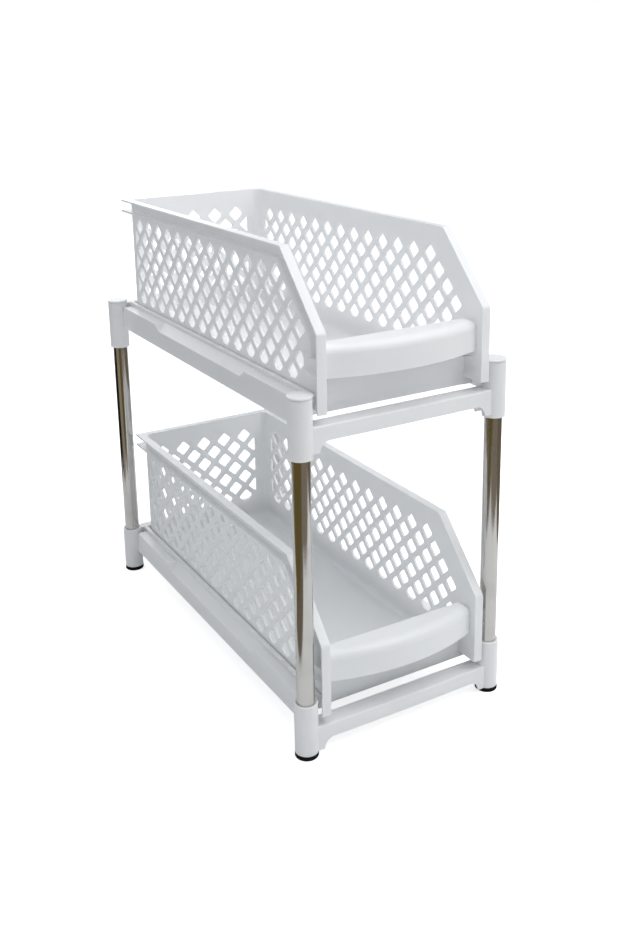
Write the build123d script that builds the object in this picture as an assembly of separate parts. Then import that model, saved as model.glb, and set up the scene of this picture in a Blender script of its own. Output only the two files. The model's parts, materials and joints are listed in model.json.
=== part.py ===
from build123d import *
import math
import os

# Two-tier sliding basket organizer: a rack of four tubes between two moulded
# frames, and two netted baskets that pull out to the front.
# Millimetres. +X is to the right, -Y is the front, +Z is up. The origin lies on
# the floor, under the middle of the whole object.

# Posts, and how far apart the tiers are
post_spacing_x = 199.0
post_spacing_y = 418.0
tier_pitch = 275.5
tube_radius = 8.0
tube_wall = 1.0

# Corner sockets of a frame; those of the upper frame reach further down
socket_radius = 10.5
socket_height = 48.0
upper_socket_drop = 3.4
socket_web_thickness = 2.5
socket_fit_clearance = 0.05
mouth_chamfer = 0.7
socket_edge_round = 0.6

# Rubber feet, and the disc caps on the top sockets
foot_radius = 10.6
foot_height = 4.5
foot_plug_length = 14.0
foot_edge_round = 0.8
cap_radius = 10.85
cap_thickness = 2.5
cap_edge_round = 0.8
cap_groove_height = 0.7
cap_groove_depth = 0.8
cap_plug_length = 14.0
cap_clearance = 0.4

# Side rails of a frame: a channel open to the inside, with a lip along its top
# and a runner along its foot. All rails are measured from the sockets' foot.
rail_wall = 2.5
side_rail_inset = 2.5
side_rail_width = 14.7
side_rail_lift = 19.5
side_rail_height = 24.0
lip_width = 3.7
lip_rise = 3.5
lip_drop = 8.0
lip_set_back = 8.6
pad_length = 210.0
pad_drop = 6.4
pad_ramp = 10.0
pocket_length = 8.0
pocket_depth = 6.0
runner_width = 13.0
runner_lift = 23.5
runner_set_back = 15.4

# Front rail and back rail, channels open below
front_rail_reach = 6.6
front_rail_depth = 16.2
front_rail_height = 13.5
front_rail_lift = 9.5
front_rail_bow = 1.0
front_edge_round = 1.0
arch_inset = 4.0
back_rail_reach = 6.3
back_rail_depth = 10.3
back_rail_height = 26.0
back_rail_lift = 20.5

# Basket shell
runner_gap = 0.3
side_gap = 1.3
back_gap = 1.3
basket_wall = 2.5
basket_height = 138.6
basket_length = 420.3
corner_radius = 10.0
floor_edge_round = 3.5
floor_inside_round = 6.5

# Flanges under the basket's sides, which run inside the side rails
slide_flange_reach = 7.4
slide_flange_height = 9.7

# Rim of two flanges that follow the outline of the sides, and the column's ribs
rim_reach = 6.2
rim_thickness = 1.8
lower_rim_thickness = 2.0
rim_spacing = 9.6
slope_run = 58.4
slope_drop = 62.7
slope_corner_round = 5.0
column_bottom_rise = 8.2
rib_thickness = 1.5
rib_length = 19.2
upper_rib_rise = 52.6
lower_rib_rise = 38.5

# Front wall, which leans back towards its foot, and the hooded handle
front_recess = 17.1
front_wall_height = 63.7
front_wall_lean = 9.5
front_wall_edge_round = 1.0
hood_height = 27.7
hood_wall = 2.5
hood_set_back = 8.4
hood_bow = 14.8
hood_edge_round = 8.0
hood_end_round = 9.0
corner_rib_drop = 36.0
corner_rib_length = 9.0

# Net of diamond holes in the side walls and the back wall. A hole whose centre
# lies this share of its width past a border stays, cut off at the border.
diamond_width = 18.8
diamond_height = 18.0
diamond_corner_round = 2.0
net_pitch = 26.07
net_row_pitch = 26.6
net_top_drop = 26.4
net_row_steps = 7
net_bottom_rise = 26.7
net_back_margin = 30.0
net_border = 15.7
net_slope_margin = 20.0
border_share = 0.25
back_net_pitch = 26.9
back_net_bottom_rise = 26.2
back_net_half_width = 64.0
back_net_offset = -4.8

# Overrun of a cut past the faces that it opens
overrun = 1.0

# Places of the rack that follow from the sizes above, for the lower tier
post_x = post_spacing_x / 2
post_y = post_spacing_y / 2
socket_bottom = foot_height
socket_top = socket_bottom + socket_height
bore_radius = tube_radius + socket_fit_clearance
web_bottom = socket_bottom + (socket_height - socket_web_thickness) / 2
web_top = web_bottom + socket_web_thickness
rail_outer_x = post_x - side_rail_inset
rail_inner_x = rail_outer_x - side_rail_width
side_rail_bottom = socket_bottom + side_rail_lift
ledge_z = side_rail_bottom + side_rail_height
lip_top = ledge_z + lip_rise
runner_top = socket_bottom + runner_lift
front_rail_y = -post_y - front_rail_reach
front_rail_back_y = front_rail_y + front_rail_depth
front_rail_bottom = socket_bottom + front_rail_lift
front_rail_top = front_rail_bottom + front_rail_height
back_rail_y = post_y + back_rail_reach
back_rail_inner_y = back_rail_y - back_rail_depth
back_rail_bottom = socket_bottom + back_rail_lift
back_rail_top = back_rail_bottom + back_rail_height

# Places of the basket in the lower tier
basket_bottom = runner_top + runner_gap
rim_top = basket_bottom + basket_height
wall_outer_x = rail_inner_x - side_gap
wall_inner_x = wall_outer_x - basket_wall
wall_middle_x = wall_outer_x - basket_wall / 2
wall_back_y = back_rail_inner_y - back_gap
basket_front_y = wall_back_y - basket_length
rim_outer_x = wall_outer_x + rim_reach
rim_back_y = wall_back_y + rim_reach
lip_front_y = max(-post_y, basket_front_y + lip_set_back)
slope_bottom_z = rim_top - slope_drop
slope_length = math.hypot(slope_run, slope_drop)
column_bottom = basket_bottom + column_bottom_rise
front_wall_y = basket_front_y + front_recess
front_wall_foot_y = front_wall_y + front_wall_lean
front_wall_top = basket_bottom + front_wall_height
hood_end_y = basket_front_y + hood_set_back
hood_front_y = hood_end_y - hood_bow
lower_rim_inset = rim_thickness + rim_spacing
lower_rim_end = lower_rim_inset + lower_rim_thickness
lower_rim_front_y = basket_front_y + lower_rim_end
rib_end_y = lower_rim_front_y + rib_length

# The origin is under the middle of the whole object, so all pieces move by this
reach_back = post_y + max(cap_radius, foot_radius, socket_radius)
origin_shift = (-hood_front_y - reach_back) / 2

# The side and the end of each corner: -1 is left or front, 1 is right or back
corners = {
    "front_left": (-1, -1),
    "back_left": (-1, 1),
    "front_right": (1, -1),
    "back_right": (1, 1),
}


def polygon(points):
    return make_face(Polyline(*points, close=True))


def prism_x(face, low, high):
    """Extrude a face drawn in (y, z) from x = low to x = high."""
    return extrude(Plane.YZ.offset(low) * face, amount=high - low)


def prism_y(face, low, high):
    """Extrude a face drawn in (x, z) from y = low to y = high."""
    return extrude(Plane.XZ.offset(-high) * face, amount=high - low)


def prism_z(face, low, high):
    """Extrude a face drawn in (x, y) from z = low to z = high."""
    return extrude(Plane.XY.offset(low) * face, amount=high - low)


def rectangle(u_low, u_high, v_low, v_high):
    return polygon([(u_low, v_low), (u_high, v_low), (u_high, v_high), (u_low, v_high)])


def block(x_range, y_range, z_range):
    return prism_z(rectangle(*x_range, *y_range), *z_range)


def cylinder(radius, low, high):
    return prism_z(Circle(radius), low, high)


def bowed_plan(half_width, end_y, middle_y, back_y):
    """A plan that is straight at the back and on its sides, with a bowed front."""
    outline = [
        Line((half_width, back_y), (-half_width, back_y)),
        Line((-half_width, back_y), (-half_width, end_y)),
        ThreePointArc((-half_width, end_y), (0, middle_y), (half_width, end_y)),
        Line((half_width, end_y), (half_width, back_y)),
    ]
    return make_face(outline)


def both_sides(part):
    return part + mirror(part, Plane.YZ)


# Frame

def pad_bevel(inset):
    """Wedge that bevels the right side rail's top, moved into the rail by an inset."""
    crease_x = rail_inner_x + lip_width
    section = polygon([
        (crease_x, ledge_z),
        (rail_outer_x, ledge_z - pad_drop),
        (rail_outer_x + pad_drop, ledge_z - pad_drop),
        (rail_outer_x + pad_drop, ledge_z + pad_drop),
        (crease_x, ledge_z + pad_drop),
    ])
    half = pad_length / 2
    profile = polygon([
        (half - pad_ramp, ledge_z - pad_drop),
        (pad_ramp - half, ledge_z - pad_drop),
        (-half - pad_ramp, ledge_z + pad_drop),
        (half + pad_ramp, ledge_z + pad_drop),
    ])
    wedge = prism_y(section, -half - pad_ramp, half + pad_ramp)
    wedge = wedge & prism_x(profile, crease_x, rail_outer_x + pad_drop)
    return Pos(-inset, 0, -inset) * wedge


def side_rail():
    """Right side rail: a channel open to the inside, its lip and its runner."""
    crease_x = rail_inner_x + lip_width
    rail = block((crease_x, rail_outer_x), (-post_y, post_y), (side_rail_bottom, ledge_z))
    rail = rail - pad_bevel(0)
    hollow = block(
        (crease_x, rail_outer_x - rail_wall),
        (-post_y, post_y),
        (side_rail_bottom - overrun, ledge_z - rail_wall),
    )
    rail = rail - (hollow - pad_bevel(rail_wall))
    pocket_y = back_rail_inner_y - pocket_length
    pocket = block(
        (crease_x, rail_outer_x + overrun),
        (pocket_y, back_rail_inner_y),
        (ledge_z - pocket_depth, ledge_z + overrun),
    )
    pocket_floor = block(
        (rail_inner_x, rail_outer_x),
        (pocket_y - rail_wall, back_rail_inner_y),
        (ledge_z - pocket_depth - rail_wall, ledge_z),
    )
    rail = rail + pocket_floor - pocket
    lip = block((rail_inner_x, crease_x), (lip_front_y, back_rail_inner_y), (ledge_z - lip_drop, lip_top))
    runner = block(
        (rail_outer_x - runner_width, rail_outer_x),
        (front_rail_back_y + runner_set_back, back_rail_inner_y),
        (runner_top - rail_wall, runner_top),
    )
    return rail + lip + runner


def arch():
    """Cutter for the front rail's lower edge, which curves down beside each socket."""
    foot_x = post_x - socket_radius - arch_inset
    start_x = foot_x - front_rail_lift
    middle = math.sqrt(1 / 2) * front_rail_lift
    cut_bottom = socket_bottom - overrun
    outline = [
        Line((-foot_x, cut_bottom), (foot_x, cut_bottom)),
        Line((foot_x, cut_bottom), (foot_x, socket_bottom)),
        ThreePointArc(
            (foot_x, socket_bottom),
            (start_x + middle, socket_bottom + middle),
            (start_x, front_rail_bottom),
        ),
        Line((start_x, front_rail_bottom), (-start_x, front_rail_bottom)),
        ThreePointArc(
            (-start_x, front_rail_bottom),
            (-start_x - middle, socket_bottom + middle),
            (-foot_x, socket_bottom),
        ),
        Line((-foot_x, socket_bottom), (-foot_x, cut_bottom)),
    ]
    return prism_y(make_face(outline), front_rail_y - post_x, front_rail_back_y + overrun)


def front_rail():
    """Front rail: a channel open below with a bowed face."""
    bowed_y = front_rail_y - front_rail_bow
    outer_plan = bowed_plan(post_x, front_rail_y, bowed_y, front_rail_back_y)
    rail = prism_z(outer_plan, socket_bottom, front_rail_top)
    rail = fillet(rail.faces().sort_by(Axis.Z)[-1].edges().sort_by(Axis.Y)[0], front_edge_round)
    hollow_plan = bowed_plan(
        post_x + overrun,
        front_rail_y + rail_wall,
        bowed_y + rail_wall,
        front_rail_back_y - rail_wall,
    )
    return rail - prism_z(hollow_plan, socket_bottom - overrun, front_rail_top - rail_wall) - arch()


def back_rail():
    """Back rail: a channel open below."""
    rail = block((-post_x, post_x), (back_rail_inner_y, back_rail_y), (back_rail_bottom, back_rail_top))
    hollow = block(
        (-post_x, post_x),
        (back_rail_inner_y + rail_wall, back_rail_y - rail_wall),
        (back_rail_bottom - overrun, back_rail_top - rail_wall),
    )
    return rail - hollow


def socket(drop):
    """Round corner socket, before it is bored, with its foot lowered by a drop."""
    body = cylinder(socket_radius, socket_bottom - drop, socket_top)
    return fillet(body.faces().sort_by(Axis.Z)[-1].edges(), socket_edge_round)


def socket_bores(drop):
    """The two blind bores of a socket with a chamfer at each mouth, and the cap's room."""
    foot_z = socket_bottom - drop
    room_top = max(socket_top, lip_top, back_rail_top) + overrun
    lower = cylinder(bore_radius, foot_z - overrun, web_bottom)
    upper = cylinder(bore_radius, web_top, room_top)
    room = cylinder(cap_radius + cap_clearance, socket_top, room_top)
    wide = bore_radius + mouth_chamfer
    mouth = Cone(wide, bore_radius, mouth_chamfer, align=(Align.CENTER, Align.CENTER, Align.MIN))
    top_mouth = Pos(0, 0, socket_top) * mirror(mouth, Plane.XY)
    return lower + upper + room + Pos(0, 0, foot_z) * mouth + top_mouth


def frame(drop):
    """One moulded frame: four sockets joined by two side rails and two cross rails."""
    body = both_sides(side_rail()) + front_rail() + back_rail()
    place = [Pos(side * post_x, end * post_y, 0) for side, end in corners.values()]
    body = body + [at * socket(drop) for at in place]
    return body - [at * socket_bores(drop) for at in place]


# Tubes, caps and feet

def tube():
    end = web_bottom + tier_pitch
    return cylinder(tube_radius, web_top, end) - cylinder(tube_radius - tube_wall, web_top, end)


def foot():
    """Rubber foot: a disc on the floor and a plug up into the socket."""
    disc = cylinder(foot_radius, 0, foot_height)
    disc = fillet(disc.edges().filter_by(GeomType.CIRCLE), foot_edge_round)
    return disc + cylinder(tube_radius, foot_height - foot_edge_round, foot_height + foot_plug_length)


def cap():
    """Disc cap: a rounded disc over a grooved neck, and a plug down into the socket."""
    seat = socket_top + tier_pitch
    neck_top = seat + cap_groove_height
    disc = cylinder(cap_radius, neck_top, seat + cap_thickness)
    disc = fillet(disc.faces().sort_by(Axis.Z)[-1].edges(), cap_edge_round)
    neck = cylinder(cap_radius - cap_groove_depth, seat, neck_top)
    return disc + neck + cylinder(tube_radius, seat - cap_plug_length, seat)


# Basket

def rim_corners(inset):
    """Corners of the side outline's slope, moved inwards by an inset."""
    upper_lean = inset * (slope_length - slope_run) / slope_drop
    lower_lean = inset * (slope_length - slope_drop) / slope_run
    upper = (basket_front_y + slope_run + upper_lean, rim_top - inset)
    lower = (basket_front_y + inset, slope_bottom_z - lower_lean)
    return upper, lower


def outline_path(inset, back_y, bottom_z):
    """The side's outline from the back, down the slope, to the foot of the column."""
    upper, lower = rim_corners(inset)
    points = [(back_y, rim_top - inset), upper, lower, (basket_front_y + inset, bottom_z)]
    return FilletPolyline(*points, radius=slope_corner_round)


def rim_band(inset, thickness, bottom_z):
    """A flange that follows the outline, drawn in (y, z)."""
    outer = outline_path(inset, rim_back_y, bottom_z)
    inner = outline_path(inset + thickness, rim_back_y, bottom_z)
    return make_face([outer, Line(outer @ 1, inner @ 1), inner, Line(inner @ 0, outer @ 0)])


def tub_prism(inset, round_radius, low, high):
    """The tub's outer block, or with an inset its hollow, rounded at the floor."""
    half = wall_outer_x - inset
    back_y = wall_back_y - inset
    plan = rectangle(-half, half, basket_front_y - inset, back_y)
    plan = fillet(plan.vertices().group_by(Axis.Y)[-1], corner_radius - inset)
    part = prism_z(plan, low, high)
    floor_edges = part.faces().sort_by(Axis.Z)[0].edges().sort_by(Axis.Y)[1:]
    return fillet(floor_edges, round_radius)


def front_wall_face(level):
    """Where the leaning front wall's face stands at a level."""
    return front_wall_y + front_wall_lean * (front_wall_top - level) / front_wall_height


def tub():
    """Floor, side walls and back wall, cut to the sloped outline."""
    shell = tub_prism(0, floor_edge_round, basket_bottom, rim_top)
    shell = shell - hollow()
    path = outline_path(0, wall_back_y, column_bottom)
    profile = make_face([
        path,
        Polyline(
            path @ 1,
            (front_wall_face(column_bottom), column_bottom),
            (front_wall_foot_y, basket_bottom),
            (wall_back_y, basket_bottom),
            path @ 0,
        ),
    ])
    return shell & prism_x(profile, -wall_outer_x, wall_outer_x)


def slide_flange():
    """Right flange, level with the floor: a channel open below, with closed ends."""
    outer_x = wall_outer_x + slide_flange_reach
    end_y = wall_back_y - corner_radius
    top = basket_bottom + slide_flange_height
    flange = block((wall_middle_x, outer_x), (front_wall_foot_y, end_y), (basket_bottom, top))
    core = block(
        (wall_outer_x, outer_x - basket_wall),
        (front_wall_foot_y + basket_wall, end_y - basket_wall),
        (basket_bottom - overrun, top - basket_wall),
    )
    return flange - core


def hollow():
    return tub_prism(basket_wall, floor_inside_round, basket_bottom + basket_wall, rim_top + overrun)


def rim():
    """Both flanges along the sides and round the back."""
    rib_bottom = basket_bottom + upper_rib_rise
    upper = rim_band(0, rim_thickness, column_bottom)
    lower = rim_band(lower_rim_inset, lower_rim_thickness, rib_bottom)
    sides = both_sides(
        prism_x(upper, wall_middle_x, rim_outer_x) + prism_x(lower, wall_middle_x, rim_outer_x)
    )
    back = []
    for inset, thickness in ((0, rim_thickness), (lower_rim_inset, lower_rim_thickness)):
        top = rim_top - inset
        plate = block(
            (-rim_outer_x, rim_outer_x),
            (wall_back_y - corner_radius, rim_back_y),
            (top - thickness, top),
        )
        back.append(plate - hollow())
    return sides + back


def side_ribs():
    """Two level ribs behind the right front column."""
    plan = polygon([
        (wall_middle_x, basket_front_y + rim_thickness / 2),
        (rim_outer_x, basket_front_y + rim_thickness / 2),
        (rim_outer_x, lower_rim_front_y),
        (wall_outer_x, rib_end_y),
        (wall_middle_x, rib_end_y),
    ])
    lower, upper = (basket_bottom + rise for rise in (lower_rib_rise, upper_rib_rise))
    return prism_z(plan, lower, lower + rib_thickness) + prism_z(plan, upper, upper + rib_thickness)


def front_view(inset, bottom):
    """Cutter with the hood's front view: upright sides and rounded top corners."""
    half = wall_middle_x - inset
    view = rectangle(-half, half, bottom, front_wall_top - inset)
    view = fillet(view.vertices().group_by(Axis.Y)[-1], hood_end_round - inset)
    return prism_y(view, hood_front_y - overrun, front_wall_foot_y + basket_wall)


def front_wall():
    """Recessed front wall that leans back towards its foot, with a rib in each corner."""
    section = polygon([
        (front_wall_foot_y, basket_bottom),
        (front_wall_foot_y + basket_wall, basket_bottom),
        (front_wall_y + basket_wall, front_wall_top),
        (front_wall_y, front_wall_top),
    ])
    top_corners = section.vertices().group_by(Axis.Y)[-1]
    section = fillet(top_corners.sort_by(Axis.X)[-1], front_wall_edge_round)
    wall = prism_x(section, -wall_middle_x, wall_middle_x) & front_view(0, basket_bottom)
    level = front_wall_top - corner_rib_drop
    face_y = front_wall_face(level)
    rib_plan = polygon([
        (wall_middle_x, face_y + basket_wall / 2),
        (wall_middle_x, face_y - corner_rib_length),
        (wall_inner_x, face_y - corner_rib_length),
        (wall_inner_x - corner_rib_length, face_y),
        (wall_inner_x - corner_rib_length, face_y + basket_wall / 2),
    ])
    return wall + both_sides(prism_z(rib_plan, level, level + rib_thickness))


def hood_block(inset, bottom, depth):
    """The hood's outer block, or with an inset the grip in it, as deep into the wall."""
    back_y = front_wall_foot_y + basket_wall
    plan = bowed_plan(wall_middle_x - inset, hood_end_y + inset, hood_front_y + inset, back_y)
    part = prism_z(plan, bottom, front_wall_top - inset)
    front_edge = part.faces().sort_by(Axis.Z)[-1].edges().sort_by(Axis.Y)[0]
    part = fillet(front_edge, hood_edge_round - inset)
    reach = hood_front_y - overrun
    section = polygon([
        (reach, basket_bottom),
        (front_wall_foot_y + depth, basket_bottom),
        (front_wall_y + depth, front_wall_top),
        (reach, front_wall_top),
    ])
    return part & prism_x(section, -wall_middle_x, wall_middle_x) & front_view(inset, bottom)


def hood():
    """Hooded handle: a bowed bar with rounded edges, open below."""
    bottom = front_wall_top - hood_height
    return hood_block(0, bottom, basket_wall / 2) - hood_block(hood_wall, bottom - overrun, 0)


def diamond():
    half_width = diamond_width / 2
    half_height = diamond_height / 2
    shape = polygon([(-half_width, 0), (0, -half_height), (half_width, 0), (0, half_height)])
    return fillet(shape.vertices(), diamond_corner_round)


def lattice(first, pitch, count):
    """Centres of a net's holes. Every other row is moved by half a pitch."""
    centres = []
    for row in range(net_row_steps):
        level = rim_top - net_top_drop - row * net_row_pitch / 2
        start = first + (row % 2) * pitch / 2
        centres += [(start - step * pitch, level) for step in range(count + 1)]
    return centres


def net_outline():
    """The area that the holes of a side wall may take up, drawn in (y, z)."""
    upper, lower = rim_corners(lower_rim_end)
    border_y = wall_back_y - net_border
    net_bottom = basket_bottom + net_bottom_rise
    return polygon([
        (border_y, net_bottom),
        (border_y, rim_top - lower_rim_end),
        upper,
        lower,
        (lower_rim_front_y, front_wall_top),
        (rib_end_y, front_wall_top),
        (rib_end_y, net_bottom),
    ])


def in_side_net(y, z):
    """Whether a side wall has a hole with its centre here."""
    past_border = y - (wall_back_y - net_border)
    to_slope = ((y - basket_front_y) * slope_drop - (z - slope_bottom_z) * slope_run) / slope_length
    if past_border > border_share * diamond_width or to_slope < net_slope_margin:
        return False
    over_front = z - diamond_height / 2 > front_wall_top
    return y > (lower_rim_front_y if over_front else rib_end_y)


def clipped_holes(centres, border):
    return [(Pos(*centre) * diamond()) & border for centre in centres]


def side_net():
    """Cutters for the holes of both side walls."""
    columns = math.ceil(basket_length / net_pitch)
    centres = lattice(wall_back_y - net_back_margin, net_pitch, columns)
    kept = [centre for centre in centres if in_side_net(*centre)]
    cutters = []
    for hole in clipped_holes(kept, net_outline()):
        cutter = prism_x(hole, wall_inner_x - overrun, wall_outer_x + overrun)
        cutters += [cutter, mirror(cutter, Plane.YZ)]
    return cutters


def back_net():
    """Cutters for the holes of the back wall."""
    limit = back_net_half_width
    border = rectangle(-limit, limit, basket_bottom + back_net_bottom_rise, rim_top)
    columns = math.ceil(limit / back_net_pitch)
    first = back_net_offset + columns * back_net_pitch
    centres = lattice(first, back_net_pitch, 2 * columns)
    kept = [(x, z) for x, z in centres if abs(x) < limit + border_share * diamond_width]
    low = wall_back_y - basket_wall - overrun
    return [prism_y(hole, low, wall_back_y + overrun) for hole in clipped_holes(kept, border)]


def basket():
    """One netted basket, moulded in one piece."""
    body = tub() + rim() + both_sides(side_ribs() + slide_flange()) + front_wall() + hood()
    return body - (side_net() + back_net())


def save(part, name):
    """Move a finished piece to the object's origin and write it."""
    export_step(Pos(0, origin_shift, 0) * part, f"parts/{name}.step")


os.makedirs("parts", exist_ok=True)
one_basket = basket()
raise_tier = Pos(0, 0, tier_pitch)
save(frame(0), "lower_frame")
save(raise_tier * frame(upper_socket_drop), "upper_frame")
save(one_basket, "lower_basket")
save(raise_tier * one_basket, "upper_basket")
for where, (side, end) in corners.items():
    at = Pos(side * post_x, end * post_y, 0)
    save(at * tube(), f"{where}_tube")
    save(at * foot(), f"{where}_foot")
    save(at * cap(), f"{where}_cap")
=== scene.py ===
"""Dresses the two-tier sliding basket organizer: its finishes, studio and camera."""

from __future__ import annotations

import json
import logging
import math
from dataclasses import dataclass, field
from enum import Enum
from typing import Any, Iterable, Sequence, Union

import bpy
from mathutils import Matrix, Vector

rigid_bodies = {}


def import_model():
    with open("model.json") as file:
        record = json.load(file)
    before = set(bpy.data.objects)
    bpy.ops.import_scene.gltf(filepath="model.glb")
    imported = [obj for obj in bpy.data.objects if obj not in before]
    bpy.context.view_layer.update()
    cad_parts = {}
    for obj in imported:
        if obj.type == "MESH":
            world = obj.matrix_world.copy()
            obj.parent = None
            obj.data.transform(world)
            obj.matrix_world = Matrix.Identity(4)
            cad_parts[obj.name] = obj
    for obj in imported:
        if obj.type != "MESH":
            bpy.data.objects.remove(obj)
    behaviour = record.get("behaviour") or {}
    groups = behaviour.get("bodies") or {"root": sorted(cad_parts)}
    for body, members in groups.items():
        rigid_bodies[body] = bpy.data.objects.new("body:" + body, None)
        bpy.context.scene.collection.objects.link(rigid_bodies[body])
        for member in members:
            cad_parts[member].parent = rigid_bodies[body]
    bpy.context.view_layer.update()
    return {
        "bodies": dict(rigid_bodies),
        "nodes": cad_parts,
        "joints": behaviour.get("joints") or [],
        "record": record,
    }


LOG = logging.getLogger("organizer")

Colour = tuple[float, float, float]
Place = tuple[float, float]
Point = tuple[float, float, float]
Number = Union[int, float]
Operand = Union["Signal", Number]

NOISE_MIDDLE = 0.5


class Tier(Enum):
    """The two tiers of the rack."""

    LOWER = "lower"
    UPPER = "upper"


class Corner(Enum):
    """The four corners of the rack."""

    FRONT_LEFT = "front_left"
    FRONT_RIGHT = "front_right"
    BACK_LEFT = "back_left"
    BACK_RIGHT = "back_right"


class Signal:
    """An output socket of a shader node, with arithmetic that adds Math nodes."""

    def __init__(self, graph: "ShaderGraph", socket: bpy.types.NodeSocket | None) -> None:
        """Wrap a socket.

        Args:
            graph: The node graph that the socket belongs to.
            socket: The output socket, or None where the node has no output.
        """
        self.graph = graph
        self.socket = socket

    def _math(self, operation: str, *operands: Operand) -> "Signal":
        """Add one Math node.

        Args:
            operation: The node's operation.
            operands: Signals or numbers, in the node's own order.

        Returns:
            The node's value.
        """
        inputs = dict(enumerate(operands))
        return self.graph.add("ShaderNodeMath", {"operation": operation}, inputs)

    def __add__(self, other: Operand) -> "Signal":
        """Sum."""
        return self._math("ADD", self, other)

    def __radd__(self, other: Operand) -> "Signal":
        """Sum, with the number first."""
        return self._math("ADD", other, self)

    def __sub__(self, other: Operand) -> "Signal":
        """Difference."""
        return self._math("SUBTRACT", self, other)

    def __rsub__(self, other: Operand) -> "Signal":
        """Difference, with the number first."""
        return self._math("SUBTRACT", other, self)

    def __mul__(self, other: Operand) -> "Signal":
        """Product."""
        return self._math("MULTIPLY", self, other)

    def __rmul__(self, other: Operand) -> "Signal":
        """Product, with the number first."""
        return self._math("MULTIPLY", other, self)

    def clamped(self) -> "Signal":
        """The value, kept between 0 and 1."""
        return self.graph.add("ShaderNodeClamp", {}, {"Value": self})

    def stretched(self, middle: float, gain: float) -> "Signal":
        """Spread the value about a middle, which becomes a half, and keep it from 0 to 1.

        Args:
            middle: The value that becomes a half.
            gain: How many times the differences grow.

        Returns:
            The spread value.
        """
        return ((self - middle) * gain + 0.5).clamped()


class ShaderGraph:
    """The node graph of one material or world."""

    def __init__(self, tree: bpy.types.NodeTree) -> None:
        """Empty a node tree and take it over.

        Args:
            tree: The node tree of a material or of the world.
        """
        self.tree = tree
        self.tree.nodes.clear()

    def add(
        self,
        kind: str,
        settings: dict[str, Any] | None = None,
        inputs: dict[Union[str, int], Any] | None = None,
        output: Union[str, int] = 0,
    ) -> Signal:
        """Add one node.

        Args:
            kind: The node's type.
            settings: Its properties.
            inputs: Values or signals for its input sockets, by name or by index.
            output: The output socket to return, by name or by index.

        Returns:
            The chosen output.
        """
        node = self.tree.nodes.new(kind)
        for name, value in (settings or {}).items():
            setattr(node, name, value)
        for name, value in (inputs or {}).items():
            target = node.inputs[name]
            if isinstance(value, Signal):
                self.tree.links.new(value.socket, target)
            else:
                target.default_value = value
        return Signal(self, node.outputs[output]) if len(node.outputs) else Signal(self, None)

    def place(self) -> Signal:
        """Read the place on the object.

        Returns:
            Object coordinates, in metres.
        """
        return self.add("ShaderNodeTexCoord", output="Object")

    def noise(self, size: float, detail: float = 2.0, where: Signal | None = None) -> Signal:
        """Noise between about 0 and 1.

        Args:
            size: Size of its grains, in metres.
            detail: Number of octaves.
            where: Coordinates to use in place of the object's own.

        Returns:
            The noise's value.
        """
        return self.add(
            "ShaderNodeTexNoise",
            {"noise_dimensions": "3D"},
            {"Vector": where or self.place(), "Scale": 1.0 / size, "Detail": detail},
        )

    def blend(self, share: Operand, low: Any, high: Any) -> Signal:
        """Mix two colours.

        Args:
            share: How much of the second colour shows, from 0 to 1.
            low: The first colour, as a signal or as red, green and blue.
            high: The second colour.

        Returns:
            The mixed colour.
        """
        ends = [end if isinstance(end, Signal) else (*end, 1.0) for end in (low, high)]
        return self.add(
            "ShaderNodeMix",
            {"data_type": "RGBA"},
            {0: share, 6: ends[0], 7: ends[1]},
            output=2,
        )

    def bump(self, height: Signal, depth: float, under: Signal | None = None) -> Signal:
        """Surface relief.

        Args:
            height: Height, from 0 to 1.
            depth: The relief's depth in metres where the height is 1.
            under: The normal of a coarser relief that this one lies on.

        Returns:
            The bent normal.
        """
        inputs = {"Height": height, "Distance": depth, "Strength": 1.0}
        if under is not None:
            inputs["Normal"] = under
        return self.add("ShaderNodeBump", {}, inputs)

    def surface(self, **inputs: Any) -> None:
        """End the graph in a Principled shader.

        Args:
            inputs: Its sockets' values, with underscores in place of blanks.
        """
        sockets = {name.replace("_", " "): value for name, value in inputs.items()}
        shader = self.add("ShaderNodeBsdfPrincipled", {}, sockets)
        self.add("ShaderNodeOutputMaterial", {}, {"Surface": shader})


def new_material(name: str) -> tuple[bpy.types.Material, ShaderGraph]:
    """Make an empty material.

    Args:
        name: The material's name.

    Returns:
        The material and its graph.
    """
    material = bpy.data.materials.new(name)
    material.use_nodes = True
    return material, ShaderGraph(material.node_tree)


@dataclass(frozen=True)
class MouldedPlastic:
    """White moulded polypropylene: a soft gloss over a faint grain and slow waves."""

    name: str
    colour: Colour = (0.918, 0.922, 0.930)
    shade: Colour = (0.902, 0.906, 0.914)
    patch_size: float = 0.045
    patch_detail: float = 3.0
    patch_contrast: float = 1.6
    grain_size: float = 0.0007
    grain_depth: float = 0.00002
    wave_size: float = 0.028
    wave_depth: float = 0.00012
    relief_detail: float = 1.0
    roughness: float = 0.36
    roughness_swing: float = 0.10
    refraction: float = 1.49
    glow_share: float = 0.35
    glow_depth: float = 0.006

    def material(self) -> bpy.types.Material:
        """Build the material.

        Returns:
            The material.
        """
        material, graph = new_material(self.name)
        patches = graph.noise(self.patch_size, self.patch_detail)
        fine = graph.noise(self.grain_size, self.relief_detail)
        waves = graph.noise(self.wave_size, self.relief_detail)
        tone = patches.stretched(NOISE_MIDDLE, self.patch_contrast)
        relief = graph.bump(waves, self.wave_depth)
        graph.surface(
            Base_Color=graph.blend(tone, self.shade, self.colour),
            Roughness=self.roughness + (patches - NOISE_MIDDLE) * self.roughness_swing,
            IOR=self.refraction,
            Subsurface_Weight=self.glow_share,
            Subsurface_Radius=(1.0, 1.0, 1.0),
            Subsurface_Scale=self.glow_depth,
            Normal=graph.bump(fine, self.grain_depth, relief),
        )
        return material


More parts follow.
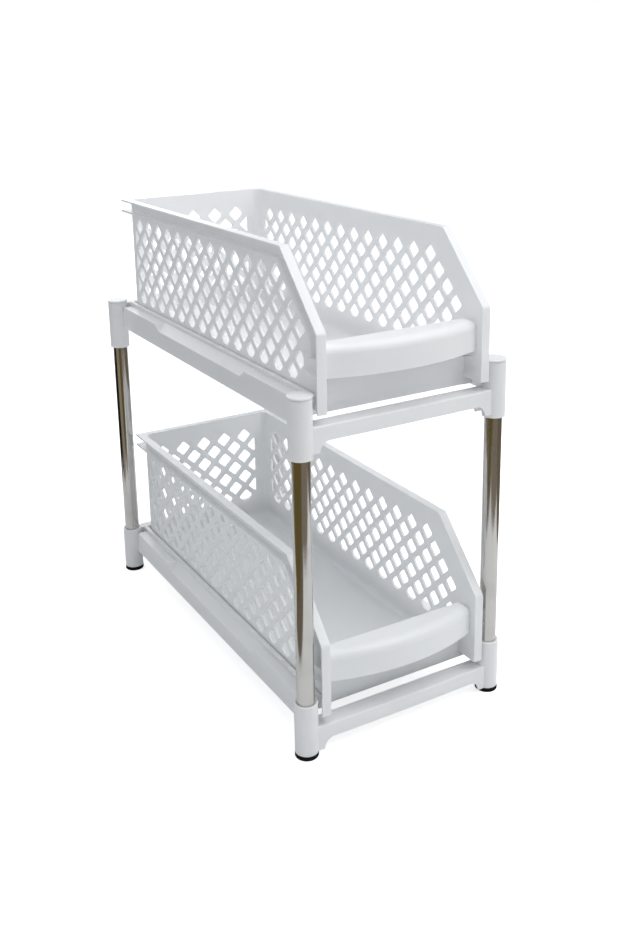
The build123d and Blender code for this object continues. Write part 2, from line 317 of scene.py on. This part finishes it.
@dataclass(frozen=True)
class PolishedTube:
    """Polished metal tube with fine lengthwise drawing marks and faint smudges."""

    name: str
    colour: Colour = (0.61, 0.60, 0.585)
    smudge_colour: Colour = (0.54, 0.525, 0.50)
    smudge_size: float = 0.03
    smudge_detail: float = 3.0
    smudge_start: float = 0.45
    smudge_gain: float = 4.0
    smudge_share: float = 0.6
    mark_size: float = 0.0009
    mark_length: float = 0.12
    mark_depth: float = 0.000006
    roughness: float = 0.09
    smudge_roughness: float = 0.10
    mark_roughness: float = 0.05

    def material(self) -> bpy.types.Material:
        """Build the material.

        Returns:
            The material.
        """
        material, graph = new_material(self.name)
        stretch = (1.0, 1.0, self.mark_size / self.mark_length)
        along = graph.add("ShaderNodeMapping", {}, {"Vector": graph.place(), "Scale": stretch})
        marks = graph.noise(self.mark_size, where=along)
        smudges = graph.noise(self.smudge_size, self.smudge_detail)
        worn = ((smudges - self.smudge_start) * self.smudge_gain).clamped()
        dulled = worn * self.smudge_roughness + marks * self.mark_roughness
        graph.surface(
            Base_Color=graph.blend(worn * self.smudge_share, self.colour, self.smudge_colour),
            Metallic=1.0,
            Roughness=self.roughness + dulled,
            Normal=graph.bump(marks, self.mark_depth),
        )
        return material


@dataclass(frozen=True)
class MattRubber:
    """Black rubber with a fine pebbled skin."""

    name: str
    colour: Colour = (0.006, 0.006, 0.0065)
    dust_colour: Colour = (0.02, 0.0195, 0.019)
    pebble_size: float = 0.0011
    pebble_depth: float = 0.00006
    dust_size: float = 0.006
    dust_detail: float = 4.0
    dust_gain: float = 3.0
    dust_share: float = 0.5
    dust_roughness: float = 0.15
    roughness: float = 0.72
    gloss_level: float = 0.12

    def material(self) -> bpy.types.Material:
        """Build the material.

        Returns:
            The material.
        """
        material, graph = new_material(self.name)
        specks = graph.noise(self.dust_size, self.dust_detail)
        dust = ((specks - NOISE_MIDDLE) * self.dust_gain).clamped()
        pebbles = graph.noise(self.pebble_size)
        graph.surface(
            Base_Color=graph.blend(dust * self.dust_share, self.colour, self.dust_colour),
            Roughness=self.roughness + dust * self.dust_roughness,
            Specular_IOR_Level=self.gloss_level,
            Normal=graph.bump(pebbles, self.pebble_depth),
        )
        return material


def dress(node: bpy.types.Object, material: bpy.types.Material) -> None:
    """Give a CAD node a material in place of its packed one.

    Args:
        node: The CAD node's object.
        material: Its new material.
    """
    node.data.materials.clear()
    node.data.materials.append(material)


@dataclass
class Rack:
    """The frames, tubes, caps and feet."""

    frame_finish: MouldedPlastic = MouldedPlastic("frame_plastic_white")
    cap_finish: MouldedPlastic = MouldedPlastic("cap_plastic_white", patch_size=0.012)
    tube_finish: PolishedTube = PolishedTube("tube_metal_polished")
    foot_finish: MattRubber = MattRubber("foot_rubber_black")

    def build(self, nodes: dict[str, bpy.types.Object]) -> Iterable[str]:
        """Dress the rack's nodes.

        Args:
            nodes: The CAD nodes by name.

        Returns:
            The names of the nodes that were dressed.
        """
        frame = self.frame_finish.material()
        done = []
        for tier in Tier:
            name = f"{tier.value}_frame"
            dress(nodes[name], frame)
            done.append(name)
        finishes = {
            "tube": self.tube_finish.material(),
            "cap": self.cap_finish.material(),
            "foot": self.foot_finish.material(),
        }
        for corner in Corner:
            for kind, material in finishes.items():
                name = f"{corner.value}_{kind}"
                dress(nodes[name], material)
                done.append(name)
        return done


@dataclass
class Basket:
    """One netted basket."""

    tier: Tier
    finish: MouldedPlastic

    def build(self, nodes: dict[str, bpy.types.Object]) -> Iterable[str]:
        """Dress the basket's node.

        Args:
            nodes: The CAD nodes by name.

        Returns:
            The name of the node that was dressed.
        """
        name = f"{self.tier.value}_basket"
        dress(nodes[name], self.finish.material())
        return [name]


@dataclass(frozen=True)
class PhotoCamera:
    """The photograph's camera, in pixels of its upright frame, degrees and metres."""

    frame_height: float = 931.0
    focal_length: float = 1059.27
    centre_y: float = 338.6
    azimuth: float = -29.73
    elevation: float = 14.795
    roll: float = -1.056
    place: Point = (-0.4901, -0.9111, 0.5892)
    sensor: float = 36.0
    near: float = 0.01
    far: float = 50.0

    def build(self) -> bpy.types.Object:
        """Make the camera and set it as the scene's own.

        Returns:
            The camera.
        """
        data = bpy.data.cameras.new("photo_camera")
        data.sensor_width = self.sensor
        data.lens = self.focal_length / self.frame_height * self.sensor
        data.shift_y = (self.centre_y - self.frame_height / 2) / self.frame_height
        data.clip_start = self.near
        data.clip_end = self.far
        camera = bpy.data.objects.new("photo_camera", data)
        bpy.context.scene.collection.objects.link(camera)
        azimuth, elevation, roll = map(math.radians, (self.azimuth, self.elevation, self.roll))
        back = Vector((
            math.sin(azimuth) * math.cos(elevation),
            -math.cos(azimuth) * math.cos(elevation),
            math.sin(elevation),
        ))
        right = (-back).cross(Vector((0.0, 0.0, 1.0))).normalized()
        up = back.cross(right)
        tilted_right = right * math.cos(roll) + up * math.sin(roll)
        tilted_up = up * math.cos(roll) - right * math.sin(roll)
        turn = Matrix((tilted_right, tilted_up, back)).transposed()
        camera.matrix_world = Matrix.Translation(self.place) @ turn.to_4x4()
        bpy.context.scene.camera = camera
        return camera


@dataclass(frozen=True)
class SoftBox:
    """One large, soft lamp that looks at the object."""

    name: str
    place: Point
    size: float
    power: float
    colour: Colour = (1.0, 1.0, 1.0)
    target: Point = (0.0, 0.0, 0.2)

    def build(self) -> bpy.types.Object:
        """Make the lamp.

        Returns:
            The lamp's object.
        """
        lamp = bpy.data.lights.new(self.name, "AREA")
        lamp.shape = "DISK"
        lamp.size = self.size
        lamp.energy = self.power
        lamp.color = self.colour
        holder = bpy.data.objects.new(self.name, lamp)
        bpy.context.scene.collection.objects.link(holder)
        away = Vector(self.place) - Vector(self.target)
        turn = away.to_track_quat("Z", "Y").to_matrix().to_4x4()
        holder.matrix_world = Matrix.Translation(self.place) @ turn
        return holder


class CardTone(Enum):
    """Tones that the cards give to the bands on the tubes."""

    BLACK = (0.012, 0.010, 0.007)
    OLIVE = (0.14, 0.105, 0.035)
    BROWN = (0.17, 0.14, 0.10)
    TAUPE = (0.24, 0.20, 0.155)
    BEIGE = (0.30, 0.26, 0.19)


def stage_sheet(
    name: str,
    outline: Sequence[Point],
    material: bpy.types.Material,
) -> bpy.types.Object:
    """Make one flat sheet of the studio.

    Args:
        name: The sheet's name.
        outline: Its corners, in order.
        material: Its material.

    Returns:
        The sheet.
    """
    mesh = bpy.data.meshes.new(name)
    mesh.from_pydata(outline, [], [tuple(range(len(outline)))])
    mesh.materials.append(material)
    sheet = bpy.data.objects.new(name, mesh)
    bpy.context.scene.collection.objects.link(sheet)
    return sheet


@dataclass(frozen=True)
class Card:
    """A dark card that only mirrors see: it draws the tubes' dark bands."""

    name: str
    outline: tuple[Point, ...]
    tone: CardTone

    @classmethod
    def upright(cls, name: str, start: Place, end: Place, height: float, tone: CardTone) -> "Card":
        """Make a card that stands on the floor.

        Args:
            name: The card's name.
            start: One end of its lower edge.
            end: The other end.
            height: Its height.
            tone: Its tone.

        Returns:
            The card.
        """
        low = ((*start, 0.0), (*end, 0.0))
        high = ((*end, height), (*start, height))
        return cls(name, low + high, tone)

    @classmethod
    def lying(
        cls, name: str, low: Place, high: Place, tone: CardTone, lift: float = 0.001
    ) -> "Card":
        """Make a card that lies on the floor.

        Args:
            name: The card's name.
            low: Its corner at the left and front.
            high: Its corner at the right and back.
            tone: Its tone.
            lift: Its height over the floor.

        Returns:
            The card.
        """
        places = (low, (high[0], low[1]), high, (low[0], high[1]))
        return cls(name, tuple((*place, lift) for place in places), tone)

    def build(self) -> bpy.types.Object:
        """Make the card.

        Returns:
            The card's object.
        """
        material, graph = new_material(self.name)
        glow = graph.add("ShaderNodeEmission", {}, {"Color": (*self.tone.value, 1.0)})
        graph.add("ShaderNodeOutputMaterial", {}, {"Surface": glow})
        card = stage_sheet(self.name, self.outline, material)
        card.visible_camera = False
        card.visible_diffuse = False
        card.visible_shadow = False
        return card


@dataclass
class Studio:
    """White surroundings, a pale floor, soft lamps and dark cards."""

    floor_half_width: float = 6.0
    floor_colour: Colour = (0.80, 0.80, 0.80)
    floor_glow: float = 0.72
    floor_mirror_glow: float = 0.08
    ambient: float = 0.48
    sky_colour: Colour = (0.92, 0.96, 1.0)
    mirror_tone: float = 0.80
    lamps: list[SoftBox] = field(default_factory=lambda: [
        SoftBox("top_box", (0.4, -0.8, 2.4), 2.2, 24.5, (1.0, 0.99, 0.98)),
        SoftBox("left_box", (-2.2, 0.0, 2.0), 1.6, 3.0),
        SoftBox("front_box", (0.7, -1.1, 1.15), 0.9, 2.8),
        SoftBox("right_box", (2.6, 0.1, 0.6), 2.0, 22.0),
        SoftBox("back_box", (0.2, 2.8, 0.9), 2.0, 18.0),
    ])
    cards: list[Card] = field(default_factory=lambda: [
        Card.upright("left_card", (-0.39, -1.2), (-0.39, 0.0), 0.5, CardTone.OLIVE),
        Card.upright("left_middle_card", (-0.39, 0.0), (-0.39, 0.25), 0.5, CardTone.BEIGE),
        Card.upright("left_back_card", (-0.39, 0.25), (-0.39, 0.6), 0.5, CardTone.BLACK),
        Card.upright("right_card", (0.42, -1.3), (0.42, 0.4), 0.6, CardTone.BROWN),
        Card.upright("front_card", (-0.39, -1.25), (0.42, -1.3), 0.5, CardTone.TAUPE),
        Card.upright("back_card", (-0.6, 1.1), (-0.14, 1.1), 0.5, CardTone.BLACK),
        Card.lying("left_mat", (-0.39, -0.7), (-0.26, -0.05), CardTone.BROWN),
        Card.lying("back_mat", (-0.6, 0.45), (-0.14, 1.1), CardTone.BLACK),
        Card.lying("front_mat", (-0.39, -1.3), (0.6, -0.58), CardTone.TAUPE),
    ])

    def build(self) -> None:
        """Make the floor, the world, the lamps and the cards."""
        self._floor()
        self._world()
        for piece in (*self.lamps, *self.cards):
            piece.build()

    @staticmethod
    def _rays(graph: ShaderGraph) -> tuple[Signal, Signal]:
        """Tell who looks at a surface of the studio.

        Args:
            graph: The surface's graph.

        Returns:
            1 for the camera's own rays, and 1 for rays that come by a mirror or through glass.
        """
        kinds = ("Is Camera Ray", "Is Glossy Ray", "Is Transmission Ray")
        camera, mirror, glass = (graph.add("ShaderNodeLightPath", output=kind) for kind in kinds)
        return camera, (mirror + glass).clamped()

    def _floor(self) -> None:
        """Make the floor, which shows as white apart from the object's shadow."""
        half = self.floor_half_width
        corners = [(-half, -half, 0.0), (half, -half, 0.0), (half, half, 0.0), (-half, half, 0.0)]
        material, graph = new_material("floor_pale")
        camera_ray, mirror_ray = self._rays(graph)
        diffuse = graph.add("ShaderNodeBsdfDiffuse", {}, {"Color": (*self.floor_colour, 1.0)})
        strength = camera_ray * self.floor_glow + mirror_ray * self.floor_mirror_glow
        glow = graph.add("ShaderNodeEmission", {}, {"Strength": strength})
        both = graph.add("ShaderNodeAddShader", {}, {0: diffuse, 1: glow})
        graph.add("ShaderNodeOutputMaterial", {}, {"Surface": both})
        stage_sheet("floor", corners, material)

    def _world(self) -> None:
        """Light the scene evenly, and show white where the camera looks past the floor."""
        world = bpy.data.worlds.new("studio_world")
        bpy.context.scene.world = world
        world.use_nodes = True
        graph = ShaderGraph(world.node_tree)
        camera_ray, mirror_ray = self._rays(graph)
        strength = (
            self.ambient
            + camera_ray * (1.0 - self.ambient)
            + mirror_ray * (self.mirror_tone - self.ambient)
        )
        colour = graph.blend(camera_ray, self.sky_colour, (1.0, 1.0, 1.0))
        shader = graph.add("ShaderNodeBackground", {}, {"Color": colour, "Strength": strength})
        graph.add("ShaderNodeOutputWorld", {}, {"Surface": shader})


def main() -> None:
    """Build the finishes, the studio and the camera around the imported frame."""
    logging.basicConfig(level=logging.INFO, format="%(name)s: %(message)s")
    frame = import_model()
    nodes = frame["nodes"]
    parts = [
        Rack(),
        # The lower basket's bluer, slightly darker colour is painted shade: it is the same plastic
        # as the upper basket, tinted for the shade it sits in under the upper tier.
        Basket(Tier.LOWER, MouldedPlastic("lower_basket_plastic_shade_tinted", colour=(0.900, 0.917, 0.930))),
        Basket(Tier.UPPER, MouldedPlastic("upper_basket_plastic")),
    ]
    for part in parts:
        for name in part.build(nodes):
            LOG.info("dressed %s", name)
    Studio().build()
    PhotoCamera().build()
    bpy.context.scene.view_settings.view_transform = "Standard"


if __name__ == "__main__":
    main()
